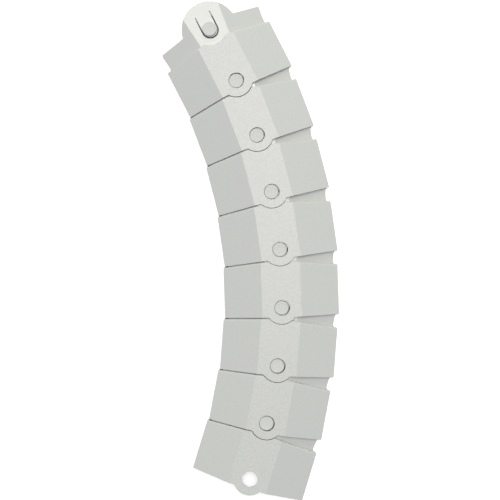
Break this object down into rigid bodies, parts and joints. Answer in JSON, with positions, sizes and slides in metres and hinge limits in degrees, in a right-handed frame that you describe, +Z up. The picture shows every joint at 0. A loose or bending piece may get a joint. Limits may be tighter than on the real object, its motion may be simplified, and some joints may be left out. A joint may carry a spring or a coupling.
{
  "type": "flexible cable floor cover",
  "caption": "Bendable floor cable cover: a chain of moulded trapezoid links that snap together on studs, open underneath for cables.",
  "frame": {"origin": "centre of the bounding box, on the floor that the links' feet stand on, with the chain bent as in the picture", "axes": "+Z up, +Y from the open-hole end to the free-stud end (up in the picture), +X to the right in the picture"},
  "size_m": [0.1288, 0.3612, 0.014],
  "materials": {
    "link_plastic": "light grey moulded plastic, fine spark-eroded grain on top, smooth lower layer",
    "tongue_plastic": "the same light grey plastic, smooth, with a grained stud top"
  },
  "bodies": {
    "link_1": {"link_1": "link_plastic"},
    "snap_tongue_1": {"snap_tongue_1": "tongue_plastic"},
    "link_2": {"link_2": "link_plastic"},
    "snap_tongue_2": {"snap_tongue_2": "tongue_plastic"},
    "link_3": {"link_3": "link_plastic"},
    "snap_tongue_3": {"snap_tongue_3": "tongue_plastic"},
    "link_4": {"link_4": "link_plastic"},
    "snap_tongue_4": {"snap_tongue_4": "tongue_plastic"},
    "link_5": {"link_5": "link_plastic"},
    "snap_tongue_5": {"snap_tongue_5": "tongue_plastic"},
    "link_6": {"link_6": "link_plastic"},
    "snap_tongue_6": {"snap_tongue_6": "tongue_plastic"},
    "link_7": {"link_7": "link_plastic"},
    "snap_tongue_7": {"snap_tongue_7": "tongue_plastic"},
    "link_8": {"link_8": "link_plastic"},
    "snap_tongue_8": {"snap_tongue_8": "tongue_plastic"}
  },
  "joints": [
    {"name": "joint_1", "type": "hinge", "parent": "link_2", "child": "link_1", "pos_m": [-0.00996, 0.123, 0.0131], "axis": [0, 0, -1], "range_deg": [0, 12.58]},
    {"name": "joint_2", "type": "hinge", "parent": "link_3", "child": "link_2", "pos_m": [0.00489, 0.08392, 0.0131], "axis": [0, 0, -1], "range_deg": [0, 12.58]},
    {"name": "joint_3", "type": "hinge", "parent": "link_4", "child": "link_3", "pos_m": [0.01537, 0.04346, 0.0131], "axis": [0, 0, -1], "range_deg": [0, 12.58]},
    {"name": "joint_4", "type": "hinge", "parent": "link_4", "child": "link_5", "pos_m": [0.02135, 0.00209, 0.0131], "axis": [0, 0, 1], "range_deg": [0, 12.58]},
    {"name": "joint_5", "type": "hinge", "parent": "link_5", "child": "link_6", "pos_m": [0.02277, -0.03969, 0.0131], "axis": [0, 0, 1], "range_deg": [0, 12.58]},
    {"name": "joint_6", "type": "hinge", "parent": "link_6", "child": "link_7", "pos_m": [0.0196, -0.08137, 0.0131], "axis": [0, 0, 1], "range_deg": [0, 12.58]},
    {"name": "joint_7", "type": "hinge", "parent": "link_7", "child": "link_8", "pos_m": [0.01188, -0.12245, 0.0131], "axis": [0, 0, 1], "range_deg": [0, 12.58]},
    {"name": "tongue_press_1", "type": "hinge", "parent": "link_1", "child": "snap_tongue_1", "pos_m": [-0.03445, 0.17085, 0.0094], "axis": [0.8902, 0.4555, 0], "range_deg": [0, 12], "stiffness_Nm_per_rad": 0.5},
    {"name": "tongue_press_2", "type": "hinge", "parent": "link_2", "child": "snap_tongue_2", "pos_m": [-0.01421, 0.13417, 0.0094], "axis": [0.9348, 0.3553, 0], "range_deg": [0, 12], "stiffness_Nm_per_rad": 0.5},
    {"name": "tongue_press_3", "type": "hinge", "parent": "link_3", "child": "snap_tongue_3", "pos_m": [0.00189, 0.09549, 0.0094], "axis": [0.9681, 0.2507, 0], "range_deg": [0, 12], "stiffness_Nm_per_rad": 0.5},
    {"name": "tongue_press_4", "type": "hinge", "parent": "link_4", "child": "snap_tongue_4", "pos_m": [0.01366, 0.05529, 0.0094], "axis": [0.9897, 0.1431, 0], "range_deg": [0, 12], "stiffness_Nm_per_rad": 0.5},
    {"name": "tongue_press_5", "type": "hinge", "parent": "link_5", "child": "snap_tongue_5", "pos_m": [0.02095, 0.01403, 0.0094], "axis": [0.9994, 0.0339, 0], "range_deg": [0, 12], "stiffness_Nm_per_rad": 0.5},
    {"name": "tongue_press_6", "type": "hinge", "parent": "link_6", "child": "snap_tongue_6", "pos_m": [0.02367, -0.02777, 0.0094], "axis": [0.9971, -0.0758, 0], "range_deg": [0, 12], "stiffness_Nm_per_rad": 0.5},
    {"name": "tongue_press_7", "type": "hinge", "parent": "link_7", "child": "snap_tongue_7", "pos_m": [0.0218, -0.06962, 0.0094], "axis": [0.9828, -0.1846, 0], "range_deg": [0, 12], "stiffness_Nm_per_rad": 0.5},
    {"name": "tongue_press_8", "type": "hinge", "parent": "link_8", "child": "snap_tongue_8", "pos_m": [0.01536, -0.11102, 0.0094], "axis": [0.9567, -0.2912, 0], "range_deg": [0, 12], "stiffness_Nm_per_rad": 0.5}
  ]
}
